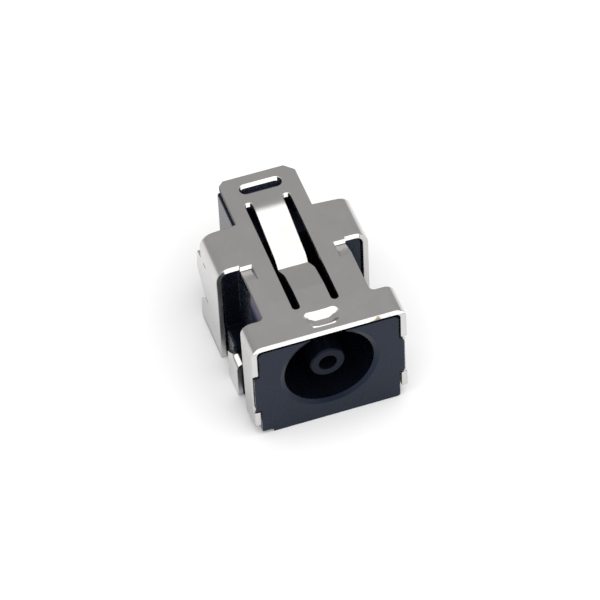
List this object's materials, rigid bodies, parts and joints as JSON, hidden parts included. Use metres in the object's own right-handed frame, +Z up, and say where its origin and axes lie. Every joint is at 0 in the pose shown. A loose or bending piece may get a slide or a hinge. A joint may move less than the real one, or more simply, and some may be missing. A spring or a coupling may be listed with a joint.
{
  "type": "dc barrel jack",
  "caption": "Board-edge dc power socket: folded sheet-metal cover with spring tongue and side wings over a black moulded body with a centre post.",
  "frame": {"origin": "centre of the bounding box at the bottom, on the surface that the feet of the wings and the base of the housing stand on", "axes": "-Y points out of the socket's front, +Y towards the rear edge, +Z up through the folded top, and +X to the right seen from the front"},
  "size_m": [0.0084, 0.012, 0.0067],
  "materials": {
    "plated_sheet": "nickel plated, fine brushed, worn bright along the cut edges",
    "black_moulding": "glossy black moulding",
    "contact_metal": "gold flashed spring contact"
  },
  "bodies": {
    "root": {"shell": "plated_sheet", "housing": "black_moulding", "post_holder": "black_moulding", "centre_contact": "contact_metal", "power_contact": "contact_metal", "leg_left": "plated_sheet", "leg_right": "plated_sheet"}
  },
  "joints": []
}
